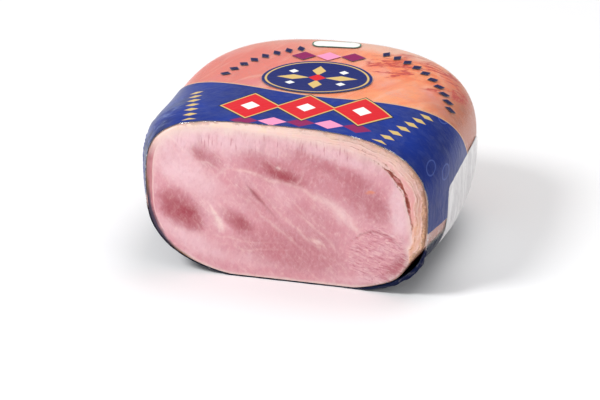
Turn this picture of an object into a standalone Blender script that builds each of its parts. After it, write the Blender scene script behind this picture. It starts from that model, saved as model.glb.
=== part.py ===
"""Cooked ham in its printed film, cut straight across and lying on its flat side.

Two pieces: the ham, one solid with its fat and rind, and the thin film that wraps it up to the cut.
Metres, +Z up. The cut faces -Y and +X is on the right of someone who looks at it. The origin is on
the surface that the ham lies on, at the middle of its footprint.
"""

import math

import bmesh
import bpy

# The ham, before it is centred: the cut is at y = 0, and x = 0 is the middle of the cut.
CUT_HALF_WIDTH = 0.110
GIRTH_HALF_WIDTH_RIGHT = 0.1195
GIRTH_HALF_WIDTH_LEFT = 0.1300
CUT_HALF_HEIGHT = 0.0628
GIRTH_RISE = 0.0645
UNDERSIDE_DROP = 0.0655
LENGTH = 0.222
GIRTH_FROM_CUT = 0.094
TIP_RISE = 0.016

# How full the outline of a section is in each quarter, at the cut and at the girth: 2 is an
# ellipse, and more is squarer.
FULLNESS_TOP_RIGHT = (2.75, 2.95)
FULLNESS_TOP_LEFT = (3.9, 2.85)
FULLNESS_BOTTOM_LEFT = (2.5, 2.5)
FULLNESS_BOTTOM_RIGHT = (3.0, 3.3)
FULLNESS_AT_THE_END = 2.6

# How the ham closes at its far end, as the two powers of a superellipse.
END_POWERS_ACROSS = (4.0, 2.8)
END_POWERS_ABOVE = (4.2, 2.7)
END_POWERS_BELOW = (2.3, 2.0)

# Soft dents and swells of the pressed ham: size, waves round the girth, waves along it, start.
SWELLS = (
    (0.0011, 2, 9.0, 0.6),
    (0.0009, 3, 17.0, 2.1),
    (0.0006, 5, 26.0, 4.0),
)

# The film: its thickness, its gap to the ham and the edge that it leaves round the cut.
FILM_THICKNESS = 0.0006
FILM_GAP = 0.0003
FILM_EDGE = 0.0012
EDGE_SHARES = (1.0, 0.6, 0.25)

# The loose stretch of that edge at the lower right, which reaches forward, flares and ruffles.
LOOSE_EDGE = 0.0040
LOOSE_FLARE = 0.0030
LOOSE_MIDDLE = math.radians(-36.0)
LOOSE_REACH = math.radians(34.0)
RUFFLE = 0.0007
RUFFLES_PER_TURN = 11

# The cut face: the lobe that stands off at its lower right, and low relief along the seams.
NOTCH_ANGLE = math.radians(-33.0)
NOTCH_REACH = math.radians(15.0)
NOTCH_DEPTH = 0.0042
FACE_SWELL = 0.0016
SEAM_DEPTH = 0.0016
SEAM_HALF_WIDTH = 0.0045

# Seams between the muscles, each a line of points (x, z) on the cut face.
SEAMS = (
    ((-0.049, 0.086), (-0.030, 0.088), (0.011, 0.078), (0.031, 0.071), (0.046, 0.059), (0.059, 0.046)),
    ((0.046, 0.036), (0.070, 0.050), (0.095, 0.045)),
    ((-0.026, 0.072), (-0.016, 0.062), (-0.006, 0.051)),
)

# The slit between the lean and the fat on the right: centre of its arc, radius, span and size.
SLIT_CENTRE = (0.0666, 0.0667)
SLIT_RADIUS = 0.0327
SLIT_FROM = math.radians(-8.0)
SLIT_TO = math.radians(73.0)
SLIT_HALF_WIDTH = 0.0010
SLIT_FRONT = -0.004
SLIT_DEPTH = 0.0070
SLIT_TAPER = 0.35
SLIT_END_WIDTH = 0.25
SLIT_STEPS = 12

# Mesh density, and the angle from which an edge is shown sharp.
SHARP_ANGLE = math.radians(40)
ROUND_STEPS = 84
LENGTH_STEPS = 18
LENGTH_CROWDING = 0.9
FACE_RINGS = 16

COLOURS = {
    "ham": (0.86, 0.47, 0.50, 1.0),
    "film": (0.04, 0.08, 0.32, 1.0),
}
ROUGHNESS = {"ham": 0.4, "film": 0.2}


def clear_scene():
    for thing in list(bpy.data.objects):
        bpy.data.objects.remove(thing)


def material(name):
    """A plain Principled material in the node's colour and roughness."""
    made = bpy.data.materials.new(name)
    made.use_nodes = True
    shader = made.node_tree.nodes["Principled BSDF"]
    shader.inputs["Base Color"].default_value = COLOURS[name]
    shader.inputs["Roughness"].default_value = ROUGHNESS[name]
    shader.inputs["Metallic"].default_value = 0.0
    return made


def eased(share):
    """The share from 0 to 1, with a level start and end."""
    share = min(1.0, max(0.0, share))
    return share * share * (3.0 - 2.0 * share)


def end_share(y):
    """How far y is on the way from the girth to the far end."""
    return min(1.0, max(0.0, (y - GIRTH_FROM_CUT) / (LENGTH - GIRTH_FROM_CUT)))


def closing(share, powers):
    """How much of the girth is left at this share of the way from the girth to the far end."""
    return max(0.0, 1.0 - share ** powers[0]) ** (1.0 / powers[1])


def opening(y, at_cut, at_girth):
    """A half size between the cut and the girth, on an ellipse that is level at the girth."""
    reach = GIRTH_FROM_CUT / math.sqrt(1.0 - (at_cut / at_girth) ** 2)
    return at_girth * math.sqrt(1.0 - (max(0.0, GIRTH_FROM_CUT - y) / reach) ** 2)


def half_width(y, at_girth):
    return opening(y, CUT_HALF_WIDTH, at_girth) * closing(end_share(y), END_POWERS_ACROSS)


def height_above(y):
    return opening(y, CUT_HALF_HEIGHT, GIRTH_RISE) * closing(end_share(y), END_POWERS_ABOVE)


def height_below(y):
    return UNDERSIDE_DROP * closing(end_share(y), END_POWERS_BELOW)


def middle_height(y):
    """The height of the section's middle, which rises towards the far end."""
    return CUT_HALF_HEIGHT + TIP_RISE * end_share(y) ** 2


def fullness(angle, y):
    """The section's fullness: eased from the cut to the girth, and rounder at the far end."""
    top = FULLNESS_TOP_RIGHT if math.cos(angle) >= 0 else FULLNESS_TOP_LEFT
    bottom = FULLNESS_BOTTOM_RIGHT if math.cos(angle) >= 0 else FULLNESS_BOTTOM_LEFT
    at_cut, at_girth = top if math.sin(angle) >= 0 else bottom
    here = at_cut + (at_girth - at_cut) * eased(y / GIRTH_FROM_CUT)
    return here + (FULLNESS_AT_THE_END - here) * end_share(y) ** 2


def swell(angle, y):
    """Height of the soft dents and swells, which fade out at the cut and at the far end."""
    total = sum(
        size * math.sin(waves * angle + start) * math.cos(along * y + start)
        for size, waves, along, start in SWELLS
    )
    return total * math.sin(math.pi * min(1.0, max(0.0, y / LENGTH)))


def surface_point(angle, y, grow):
    """A point of the ham's outside, moved outwards by grow and flat where it lies."""
    cosine, sine = math.cos(angle), math.sin(angle)
    wide = half_width(y, GIRTH_HALF_WIDTH_RIGHT if cosine >= 0 else GIRTH_HALF_WIDTH_LEFT)
    tall = height_above(y) if sine >= 0 else height_below(y)
    power = fullness(angle, y)
    radius = (abs(cosine) ** power + abs(sine) ** power) ** (-1.0 / power)
    extra = grow + swell(angle, y)
    x = (wide + extra) * radius * cosine
    z = middle_height(y) + (tall + extra) * radius * sine
    return x, y, max(z, -grow)


def stations():
    """Distances from the cut, closer together towards the far end, where the form turns in."""
    return [
        LENGTH * math.sin(math.pi / 2 * i / LENGTH_STEPS) ** LENGTH_CROWDING
        for i in range(LENGTH_STEPS)
    ]


def angles():
    return [2 * math.pi * i / ROUND_STEPS for i in range(ROUND_STEPS)]


def bump(value, middle, reach):
    """A smooth bump of height 1 at middle that ends at reach on both sides."""
    distance = abs(value - middle) / reach
    return math.cos(distance * math.pi / 2) ** 2 if distance < 1 else 0.0


def signed(angle):
    """The angle between -180 and 180 degrees."""
    return math.atan2(math.sin(angle), math.cos(angle))


def add_ring(mesh, points):
    return [mesh.verts.new(point) for point in points]


def join_rings(mesh, first, second):
    """Faces between two rings of the same number of points."""
    count = len(first)
    for i in range(count):
        j = (i + 1) % count
        mesh.faces.new((first[i], first[j], second[j], second[i]))


def close_ring(mesh, ring, point):
    """A fan of faces from a ring to one point."""
    tip = mesh.verts.new(point)
    count = len(ring)
    for i in range(count):
        mesh.faces.new((ring[i], ring[(i + 1) % count], tip))


def new_object(name, mesh):
    """Turns a bmesh into a named object, shaded smooth but for its sharp edges."""
    bmesh.ops.recalc_face_normals(mesh, faces=mesh.faces)
    data = bpy.data.meshes.new(name)
    mesh.to_mesh(data)
    mesh.free()
    data.shade_smooth()
    data.set_sharp_from_angle(angle=SHARP_ANGLE)
    made = bpy.data.objects.new(name, data)
    bpy.context.scene.collection.objects.link(made)
    return made


def distance_to_segment(point, start, end):
    along_x, along_z = end[0] - start[0], end[1] - start[1]
    length_squared = along_x ** 2 + along_z ** 2
    share = ((point[0] - start[0]) * along_x + (point[1] - start[1]) * along_z) / length_squared
    share = max(0.0, min(1.0, share))
    return math.hypot(point[0] - start[0] - share * along_x, point[1] - start[1] - share * along_z)


def face_relief(x, z, share):
    """How far the cut face stands out: a low swell, with shallow seams between the muscles."""
    out = FACE_SWELL * (1.0 - share ** 2)
    for seam in SEAMS:
        near = min(distance_to_segment((x, z), start, end) for start, end in zip(seam, seam[1:]))
        out -= SEAM_DEPTH * math.exp(-(near / SEAM_HALF_WIDTH) ** 2)
    return out


def notch(angle):
    """How far the outline of the cut steps in beside the lower lobe."""
    return NOTCH_DEPTH * bump(signed(angle), NOTCH_ANGLE, NOTCH_REACH)


def ham_ring(y):
    """One ring of the ham's outside. The notch is full at the cut and fades out behind it."""
    fade = max(0.0, 1.0 - y / GIRTH_FROM_CUT)
    points = []
    for angle in angles():
        x, _, z = surface_point(angle, y, 0.0)
        from_middle = math.hypot(x, z - CUT_HALF_HEIGHT)
        keep = 1.0 - notch(angle) * fade / from_middle
        points.append((x * keep, y, CUT_HALF_HEIGHT + (z - CUT_HALF_HEIGHT) * keep))
    return points


def slit_cutter():
    """A curved blade, as thick as the slit is wide, that sinks into the face and thins inwards."""
    blade = bmesh.new()
    rows = []
    for i in range(SLIT_STEPS + 1):
        share = i / SLIT_STEPS
        angle = SLIT_FROM + (SLIT_TO - SLIT_FROM) * share
        fatness = SLIT_END_WIDTH + (1.0 - SLIT_END_WIDTH) * math.sin(math.pi * share)
        wide = SLIT_HALF_WIDTH * fatness
        row = []
        for y, thick in ((SLIT_FRONT, wide), (0.0, wide), (SLIT_DEPTH, wide * SLIT_TAPER)):
            for side in (-1, 1):
                radius = SLIT_RADIUS + side * thick
                x = SLIT_CENTRE[0] + radius * math.cos(angle)
                z = SLIT_CENTRE[1] + radius * math.sin(angle)
                row.append(blade.verts.new((x, y, z)))
        rows.append(row)
    outline = (0, 1, 3, 5, 4, 2)
    for near, far in zip(rows, rows[1:]):
        for i, start in enumerate(outline):
            end = outline[(i + 1) % len(outline)]
            blade.faces.new((near[start], near[end], far[end], far[start]))
    blade.faces.new([rows[0][i] for i in outline])
    blade.faces.new([rows[-1][i] for i in outline])
    made = new_object("slit_cutter", blade)
    made.hide_render = True
    made.display_type = "WIRE"
    return made


def build_ham():
    """The ham: rings from the cut to the far end, and rings across the cut face."""
    mesh = bmesh.new()
    rings = [add_ring(mesh, ham_ring(y)) for y in stations()]
    for first, second in zip(rings, rings[1:]):
        join_rings(mesh, first, second)
    close_ring(mesh, rings[-1], (0.0, LENGTH, middle_height(LENGTH)))
    outer = rings[0]
    for i in range(1, FACE_RINGS):
        share = 1.0 - i / FACE_RINGS
        points = []
        for x, _, z in ham_ring(0.0):
            face_x = x * share
            face_z = CUT_HALF_HEIGHT + (z - CUT_HALF_HEIGHT) * share
            points.append((face_x, -face_relief(face_x, face_z, share), face_z))
        inner = add_ring(mesh, points)
        join_rings(mesh, inner, outer)
        outer = inner
    close_ring(mesh, outer, (0.0, -face_relief(0.0, CUT_HALF_HEIGHT, 0.0), CUT_HALF_HEIGHT))
    ham = new_object("ham", mesh)
    ham.data.materials.append(material("ham"))
    slit = ham.modifiers.new("slit", "BOOLEAN")
    slit.operation = "DIFFERENCE"
    slit.object = slit_cutter()
    return ham


def film_edge_ring(edge_share):
    """A ring of the film's edge round the cut, at this share of its reach in front of the cut."""
    grow = FILM_GAP + FILM_THICKNESS
    points = []
    for angle in angles():
        loose = bump(signed(angle), LOOSE_MIDDLE, LOOSE_REACH) * edge_share
        ruffle = RUFFLE * math.sin(RUFFLES_PER_TURN * angle)
        forward = FILM_EDGE * edge_share + (LOOSE_EDGE + ruffle) * loose
        flare = (LOOSE_FLARE + ruffle) * loose
        x, _, z = surface_point(angle, 0.0, grow)
        away = math.hypot(x, z - CUT_HALF_HEIGHT)
        x += flare * x / away
        z = max(-grow, z + flare * (z - CUT_HALF_HEIGHT) / away)
        points.append((x, -forward, z))
    return points


def build_film():
    """The film: the ham's form a little larger, open at the cut, given its thickness inwards."""
    grow = FILM_GAP + FILM_THICKNESS
    mesh = bmesh.new()
    rings = [add_ring(mesh, film_edge_ring(share)) for share in EDGE_SHARES]
    for y in stations():
        reach = y * (LENGTH + grow) / LENGTH
        points = [surface_point(angle, y, grow) for angle in angles()]
        rings.append(add_ring(mesh, [(x, reach, z) for x, _, z in points]))
    for first, second in zip(rings, rings[1:]):
        join_rings(mesh, first, second)
    close_ring(mesh, rings[-1], (0.0, LENGTH + grow, middle_height(LENGTH)))
    film = new_object("film", mesh)
    film.data.materials.append(material("film"))
    wall = film.modifiers.new("wall", "SOLIDIFY")
    wall.thickness = FILM_THICKNESS
    wall.offset = -1.0
    wall.use_even_offset = True
    return film


def centre_on_footprint(pieces):
    """Moves the pieces so that the origin is on the floor at the middle of their footprint."""
    corners = [piece.matrix_world @ vertex.co for piece in pieces for vertex in piece.data.vertices]
    middle_x = (min(c.x for c in corners) + max(c.x for c in corners)) / 2
    middle_y = (min(c.y for c in corners) + max(c.y for c in corners)) / 2
    lowest = min(c.z for c in corners)
    for thing in bpy.data.objects:
        thing.location = (-middle_x, -middle_y, -lowest)


def main():
    clear_scene()
    ham = build_ham()
    film = build_film()
    centre_on_footprint((ham, film))


main()
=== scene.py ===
"""The looks of a cooked ham in its printed film: cut meat, fat and rind, and the film over them.

Metres, +Z up. Both pieces repeat the form of the solids that they replace, with a finer mesh.
"""

import math

import bpy
import numpy as np
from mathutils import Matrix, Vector


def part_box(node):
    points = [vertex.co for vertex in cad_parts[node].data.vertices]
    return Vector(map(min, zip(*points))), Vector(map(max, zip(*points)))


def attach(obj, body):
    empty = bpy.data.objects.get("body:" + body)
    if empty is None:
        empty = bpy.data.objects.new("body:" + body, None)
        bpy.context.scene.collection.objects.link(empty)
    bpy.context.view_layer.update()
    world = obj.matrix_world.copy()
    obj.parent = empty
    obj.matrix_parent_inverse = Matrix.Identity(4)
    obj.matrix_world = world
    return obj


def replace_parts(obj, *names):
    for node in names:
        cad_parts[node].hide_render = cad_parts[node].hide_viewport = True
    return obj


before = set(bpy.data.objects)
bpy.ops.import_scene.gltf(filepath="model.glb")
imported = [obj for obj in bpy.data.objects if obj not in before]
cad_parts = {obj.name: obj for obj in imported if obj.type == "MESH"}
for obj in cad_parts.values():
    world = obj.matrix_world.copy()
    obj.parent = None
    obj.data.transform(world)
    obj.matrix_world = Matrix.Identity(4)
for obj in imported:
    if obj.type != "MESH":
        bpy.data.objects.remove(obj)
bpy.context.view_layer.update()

MM = 0.001

# The form, as the solids have it: the cut is at y = 0, and x = 0 is the middle of the cut.
CUT_HALF_WIDTH = 0.11
GIRTH_HALF_WIDTH_RIGHT = 0.1195
GIRTH_HALF_WIDTH_LEFT = 0.13
CUT_HALF_HEIGHT = 0.0628
GIRTH_RISE = 0.0645
UNDERSIDE_DROP = 0.0655
LENGTH = 0.222
GIRTH_FROM_CUT = 0.094
TIP_RISE = 0.016

# How full the outline is in each quarter, at the cut and at the girth, and at the far end.
FULLNESS_TOP_RIGHT = (2.75, 2.95)
FULLNESS_TOP_LEFT = (3.9, 2.85)
FULLNESS_BOTTOM_LEFT = (2.5, 2.5)
FULLNESS_BOTTOM_RIGHT = (3, 3.3)
FULLNESS_AT_THE_END = 2.6
END_POWERS_ACROSS = (4, 2.8)
END_POWERS_ABOVE = (4.2, 2.7)
END_POWERS_BELOW = (2.3, 2)

# Soft dents and swells: size, waves round the girth, waves along it, start.
SWELLS = (
    (0.0011, 2, 9, 0.6),
    (0.0009, 3, 17, 2.1),
    (0.0006, 5, 26, 4),
)
NOTCH_ANGLE = math.radians(-33)
NOTCH_REACH = math.radians(15)
NOTCH_DEPTH = 0.0042
FACE_SWELL = 0.0016

# The film's outer side, and its loose edge at the lower right of the cut.
FILM_GROW = 0.0009
FILM_WALL = 0.0004
FILM_EDGE = 0.0004
LOOSE_EDGE = 0.004
LOOSE_FLARE = 0.003
LOOSE_MIDDLE = math.radians(-36)
LOOSE_REACH = math.radians(34)

# A face of the film that spans more than this of the girth crosses the seam under the ham.
SEAM_SPAN = 0.1

# Mesh density, the steps that measure the outside, and the cells after which noise repeats.
HAM_AROUND = 480
SKIN_ROWS = 60
SKIN_CROWDING = 0.9
FACE_RINGS = 120
FACE_CROWDING = 1.3
FILM_AROUND = 360
FILM_ROWS = 126
WALK_STEPS = 2000
NOISE_CELLS = 64
SHARP_ANGLE = math.radians(38)

# The camera, on the cut's normal turned towards the right, aimed a little above the cut's foot.
CAMERA_AZIMUTH = math.radians(15.2)
CAMERA_ELEVATION = math.radians(25)
CAMERA_DISTANCE = 1.857
CAMERA_LENS = 144.8
AIM_RIGHT = 0.0115
AIM_UP = 0.0614


# Form

def eased(share):
    """The share from 0 to 1, with a level start and end."""
    share = np.clip(share, 0, 1)
    return share * share * (3 - 2 * share)


def end_share(y):
    """How far y is on the way from the girth to the far end."""
    return np.clip((y - GIRTH_FROM_CUT) / (LENGTH - GIRTH_FROM_CUT), 0, 1)


def closing(y, powers):
    """How much of the girth is left at y."""
    return np.clip(1 - end_share(y) ** powers[0], 0, None) ** (1 / powers[1])


def opening(y, at_cut, at_girth):
    """A half size between the cut and the girth, on an ellipse that is level at the girth."""
    reach = GIRTH_FROM_CUT / np.sqrt(1 - (at_cut / at_girth) ** 2)
    return at_girth * np.sqrt(1 - (np.clip(GIRTH_FROM_CUT - y, 0, None) / reach) ** 2)


def middle_height(y):
    return CUT_HALF_HEIGHT + TIP_RISE * end_share(y) ** 2


def fullness(angle, y):
    """The section's fullness: eased from the cut to the girth, and rounder at the far end."""
    ease = eased(y / GIRTH_FROM_CUT)
    top_right, top_left, low_left, low_right = (
        at_cut + (at_girth - at_cut) * ease
        for at_cut, at_girth in (
            FULLNESS_TOP_RIGHT, FULLNESS_TOP_LEFT, FULLNESS_BOTTOM_LEFT, FULLNESS_BOTTOM_RIGHT)
    )
    top = np.where(np.cos(angle) >= 0, top_right, top_left)
    low = np.where(np.cos(angle) >= 0, low_right, low_left)
    here = np.where(np.sin(angle) >= 0, top, low)
    return here + (FULLNESS_AT_THE_END - here) * end_share(y) ** 2


def swell(angle, y):
    """Height of the soft dents and swells, which fade out at the cut and at the far end."""
    total = sum(
        size * np.sin(waves * angle + start) * np.cos(along * y + start)
        for size, waves, along, start in SWELLS
    )
    return total * np.sin(np.pi * np.clip(y / LENGTH, 0, 1))


def outline(angle, y, grow):
    """x and z of the ham's outside, moved outwards by grow and flat where it lies."""
    cosine, sine = np.cos(angle), np.sin(angle)
    girth = np.where(cosine >= 0, GIRTH_HALF_WIDTH_RIGHT, GIRTH_HALF_WIDTH_LEFT)
    wide = opening(y, CUT_HALF_WIDTH, girth) * closing(y, END_POWERS_ACROSS)
    above = opening(y, CUT_HALF_HEIGHT, GIRTH_RISE) * closing(y, END_POWERS_ABOVE)
    tall = np.where(sine >= 0, above, UNDERSIDE_DROP * closing(y, END_POWERS_BELOW))
    power = fullness(angle, y)
    radius = (np.abs(cosine) ** power + np.abs(sine) ** power) ** (-1 / power)
    extra = grow + swell(angle, y)
    x = (wide + extra) * radius * cosine
    z = middle_height(y) + (tall + extra) * radius * sine
    return x, z


def bump(value, middle, reach):
    """A smooth bump of height 1 at middle that ends at reach on both sides."""
    distance = np.abs(value - middle) / reach
    return np.where(distance < 1, np.cos(np.clip(distance, 0, 1) * np.pi / 2) ** 2, 0)


def signed(angle):
    """The angle between -180 and 180 degrees."""
    return np.arctan2(np.sin(angle), np.cos(angle))


def turn_of(steps):
    return 2 * np.pi * np.arange(steps) / steps


def skin_stations():
    """Distances from the cut, closer together towards the far end."""
    return LENGTH * np.sin(np.pi / 2 * np.arange(SKIN_ROWS) / SKIN_ROWS) ** SKIN_CROWDING


def film_stations():
    """Distances from the cut, evenly spaced along the outside from the cut to the far end."""
    y = LENGTH * np.sin(np.linspace(0, np.pi / 2, WALK_STEPS))
    top = opening(y, CUT_HALF_HEIGHT, GIRTH_RISE) * closing(y, END_POWERS_ABOVE)
    walked = np.concatenate([[0], np.cumsum(np.hypot(np.diff(y), np.diff(top)))])
    return np.interp(walked[-1] * np.arange(FILM_ROWS) / FILM_ROWS, walked, y)


def placement():
    """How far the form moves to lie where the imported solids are."""
    ham_low, ham_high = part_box("ham")
    angle = turn_of(HAM_AROUND)[None, :]
    y = skin_stations()[:, None]
    x, _ = outline(angle, y, 0)
    middle_x = (ham_low.x + ham_high.x) / 2 - (x.min() + x.max()) / 2
    return np.array((middle_x, ham_high.y - LENGTH, ham_low.z))


# Numbers over the cut face

def lattice_noise(x, z, size, seed):
    """Smooth noise from -1 to 1, with features of about this size in metres."""
    grid = np.random.default_rng(seed).uniform(-1, 1, (NOISE_CELLS, NOISE_CELLS))
    u, v = x / size, z / size
    i, j = np.floor(u).astype(int), np.floor(v).astype(int)
    a, b = eased(u - i), eased(v - j)
    i, next_i, j, next_j = (cell % NOISE_CELLS for cell in (i, i + 1, j, j + 1))
    near = grid[i, j] * (1 - a) + grid[next_i, j] * a
    far = grid[i, next_j] * (1 - a) + grid[next_i, next_j] * a
    return near * (1 - b) + far * b


def layered_noise(x, z, size, seed):
    """Three sizes of noise together, the smaller ones weaker."""
    shares = (1, 0.5, 0.25)
    layers = (share * lattice_noise(x, z, share * size, seed + k) for k, share in enumerate(shares))
    return sum(layers) / sum(shares)


def patch(x, z, middle_x, middle_z, long, short, degrees, soft=1):
    """An oval patch with a level middle and a soft edge. Sizes in millimetres."""
    turn = math.radians(degrees)
    across, up = x - middle_x * MM, z - middle_z * MM
    u = across * math.cos(turn) + up * math.sin(turn)
    v = -across * math.sin(turn) + up * math.cos(turn)
    return eased((1 + 0.35 * soft - np.hypot(u / (long * MM), v / (short * MM))) / soft)


def along_line(x, z, line):
    """Distance from a line of points, and the values that its points carry, between them."""
    best = np.full(x.shape, 1e9)
    carried = [np.zeros(x.shape) for _ in line[0][2:]]
    for start, end in zip(line, line[1:]):
        (ax, az), (bx, bz) = (np.array(point[:2]) * MM for point in (start, end))
        length_squared = (bx - ax) ** 2 + (bz - az) ** 2
        share = np.clip(((x - ax) * (bx - ax) + (z - az) * (bz - az)) / length_squared, 0, 1)
        distance = np.hypot(x - ax - share * (bx - ax), z - az - share * (bz - az))
        nearer = distance < best
        best = np.where(nearer, distance, best)
        for k, values in enumerate(carried):
            here = start[2 + k] + (end[2 + k] - start[2 + k]) * share
            carried[k] = np.where(nearer, here, values)
    return best, carried


# Darker patches of lean: middle, half sizes, turn in degrees, softness of the edge, strength.
DARK_PATCHES = (
    (-84, 51, 22, 14, -34, 0.8, 0.62),
    (-86, 51, 14, 9, -28, 0.9, 0.45),
    (-75, 44, 12, 8, -35, 0.8, 0.4),
    (-38, 45, 15, 9, -32, 1.1, 0.6),
    (-34, 43, 8, 5, -20, 0.8, 0.46),
    (-62, 96, 15, 8, -30, 1.2, 0.4),
    (-68, 98, 7, 4, -30, 1, 0.3),
    (-12, 91, 26, 11, -20, 1.2, 0.46),
    (-5, 88, 13, 5, -26, 1, 0.66),
    (6, 84, 14, 6, -10, 1, 0.3),
    (34, 86, 38, 17, -22, 1, 0.26),
    (62, 76, 20, 16, -50, 0.8, 0.28),
    (72, 65, 10, 13, 10, 0.8, 0.26),
    (46, 92, 20, 6, -20, 0.8, 0.2),
    (20, 101, 26, 8, -12, 1, 0.16),
    (88, 20, 12, 7, 48, 0.9, 0.62),
    (92, 28, 8, 6, 60, 0.9, 0.24),
    # The broad patch low in the middle is painted shade: the lower part of the face darker, as it gets
    # less light.
    (6, 26, 44, 19, -6, 1, 0.44),
    (-20, 62, 26, 12, -42, 1, 0.2),
    (24, 52, 26, 14, -30, 1, 0.22),
)

# Paler stretches of lean: middle, half sizes, turn in degrees, strength.
PALE_PATCHES = (
    (-86, 98, 26, 26, -35, 0.7),
    (-46, 111, 52, 11, -3, 0.85),
    (-74, 76, 22, 12, -10, 0.6),
    (-58, 66, 12, 16, 20, 0.25),
    (-74, 26, 30, 9, -28, 0.75),
    (-30, 14, 34, 6, -4, 0.3),
    (88, 74, 7, 26, -4, 0.8),
    (92, 56, 6, 18, 0, 0.55),
    (32, 108, 40, 6, -13, 0.75),
    (66, 97, 22, 9, -38, 0.15),
    (40, 66, 22, 4, -42, 0.3),
    (70, 9, 28, 4, 8, 0.55),
    (-52, 46, 7, 14, 20, 0.3),
)

# Pale seams and flecks: points with half width and strength.
PALE_LINES = (
    ((-61, 76, 1.2, 0.1), (-49, 86, 1.3, 0.4), (-30, 88, 1.4, 0.5), (-8, 81, 1.6, 0.4),
     (11, 78, 1.8, 0.35), (23, 73, 2.6, 0.5), (36, 67, 3, 0.55), (47, 59, 3.2, 0.6),
     (60, 47, 2.8, 0.35), (64, 42, 1.5, 0.05)),
    ((-58.5, 56, 0.8, 0.4), (-56, 50, 2, 1.1), (-53.5, 44, 2.6, 1.3), (-51.5, 39, 2.8, 1.2),
     (-49, 34, 0.9, 0.3)),
    ((17, 38, 0.9, 0.2), (24, 35.5, 2, 0.65), (31, 33, 1.3, 0.35), (28, 28, 0.8, 0.1)),
    ((-4.5, 92.5, 1.1, 0.9), (-3.2, 91.5, 1.2, 0.9)),
    ((3, 83, 0.7, 0.1), (9, 80, 0.9, 0.4), (14, 88, 0.9, 0.4), (13, 95, 0.7, 0.05)),
    ((-95, 113, 0.9, 0.6), (-88, 107, 1, 0.6), (-80, 98, 0.9, 0.1)),
    ((-31, 85, 1, 0.05), (-6, 58, 1.2, 0.3), (16, 38, 1.3, 0.4), (34, 26, 1, 0.1)),
    ((-42, 76, 0.9, 0.05), (-18, 52, 1.1, 0.26), (6, 33, 1.2, 0.3), (26, 19, 0.9, 0.05)),
    ((-18, 84, 0.9, 0.05), (10, 56, 1.1, 0.22), (34, 38, 1.1, 0.26), (46, 22, 0.9, 0.05)),
    ((-66, 33, 0.8, 0.1), (-30, 28, 1, 0.32), (-4, 32, 0.9, 0.1)),
    ((-60, 26, 0.8, 0.1), (-28, 22, 1, 0.26), (2, 25, 0.9, 0.1)),
    ((39, 100, 0.8, 0.1), (42, 97, 1, 0.4), (43, 93, 0.8, 0.1)),
    ((24, 92, 0.8, 0.1), (27, 89, 1, 0.35), (30, 90, 0.8, 0.1)),
    ((-70, 91, 0.8, 0.1), (-62, 92, 1, 0.35), (-52, 86, 0.8, 0.2), (-48, 89, 0.7, 0.05)),
)

# Dark red seams: points with half width and strength.
RED_LINES = (
    ((-29, 76, 0.6, 0.2), (-25, 71, 1.5, 0.8), (-19, 65, 1.5, 0.75), (-15, 61, 1, 0.4),
     (-8, 53, 0.8, 0.22), (-1, 45, 0.7, 0.05)),
    ((47, 35, 0.8, 0.1), (60, 45.5, 1, 0.4), (69, 49, 1, 0.5), (78, 47, 0.9, 0.4),
     (86, 43, 0.9, 0.3), (94, 34, 0.8, 0.1)),
)

# Slits between the lean and the fat: points with half width and depth.
SLITS = (
    ((40, 120.5, 0.4, 0.15), (56, 114, 0.5, 0.3), (68, 106.5, 0.6, 0.4), (77, 101, 0.6, 0.7),
     (82, 97, 0.9, 1.9), (86.5, 92.5, 1.3, 2.6), (90, 88.5, 1.3, 2.4), (92, 85, 0.6, 1),
     (93.5, 81, 0.8, 1.8), (94.8, 75, 1.2, 2.8), (96.3, 69, 0.8, 1.5), (98.2, 61, 0.7, 1.1),
     (99, 53, 0.7, 0.7), (98, 46, 0.5, 0.1)),
    ((52, 118.5, 0.4, 0.15), (66, 111.5, 0.5, 0.45), (78, 103.5, 0.6, 0.6), (87, 96, 0.6, 0.3)),
    ((82, 92, 0.4, 0.2), (86, 88, 0.5, 0.7), (90, 84, 0.5, 0.6), (92, 80, 0.4, 0.2)),
    ((74, 104, 0.4, 0.2), (80, 99.5, 0.5, 0.6), (85, 95, 0.4, 0.3)),
)

# A small orange fleck: middle, half sizes and turn in degrees.
ORANGE_FLECK = (66.5, 79, 4, 1.8, 8)

# The lower right lobe: its middle and its radius in millimetres.
LOBE = (73, 28, 24)

# Thickness of the fat in millimetres against the angle round the cut.
FAT_ANGLES = (-180, -60, -34, -30, -24, -12, 0, 12, 25, 40, 55, 70, 90, 105, 120, 135, 150, 180)
FAT_THICKNESS = (0, 0, 0, 3, 8.5, 10.5, 12.5, 14.5, 14, 12, 10, 8, 6.2, 5, 4, 2.6, 1, 0)

# Width in millimetres of the pale edge of the lean, inside the fat.
BLEND_ANGLES = (-180, -60, -30, 0, 30, 50, 70, 90, 120, 150, 180)
BLEND_WIDTH = (4, 3, 6, 6, 8, 9, 8, 8, 9, 12, 6)


def lines_over(x, z, lines):
    """Strength of a set of lines at each point, with each line's own width."""
    total = np.zeros(x.shape)
    for line in lines:
        distance, (wide, strength) = along_line(x, z, line)
        total = np.maximum(total, strength * np.exp(-(distance / (wide * MM)) ** 2))
    return total


def slit_numbers(x, z, fine):
    """How far each point is in a slit, from 0 to 1, and how deep the slit is there."""
    slit, sink = np.zeros(x.shape), np.zeros(x.shape)
    for line in SLITS:
        distance, (wide, deep) = along_line(x, z, line)
        form = 1 / (1 + (distance / (wide * (1 + 0.5 * fine) * MM)) ** 4)
        near = np.clip(1.2 - distance / (2.2 * wide * MM), 0, 1)
        slit = np.maximum(slit, near * np.clip(0.24 + deep / 2.4, 0, 1))
        sink = np.maximum(sink, form * 0.65 * deep * MM)
    return slit, sink


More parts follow.
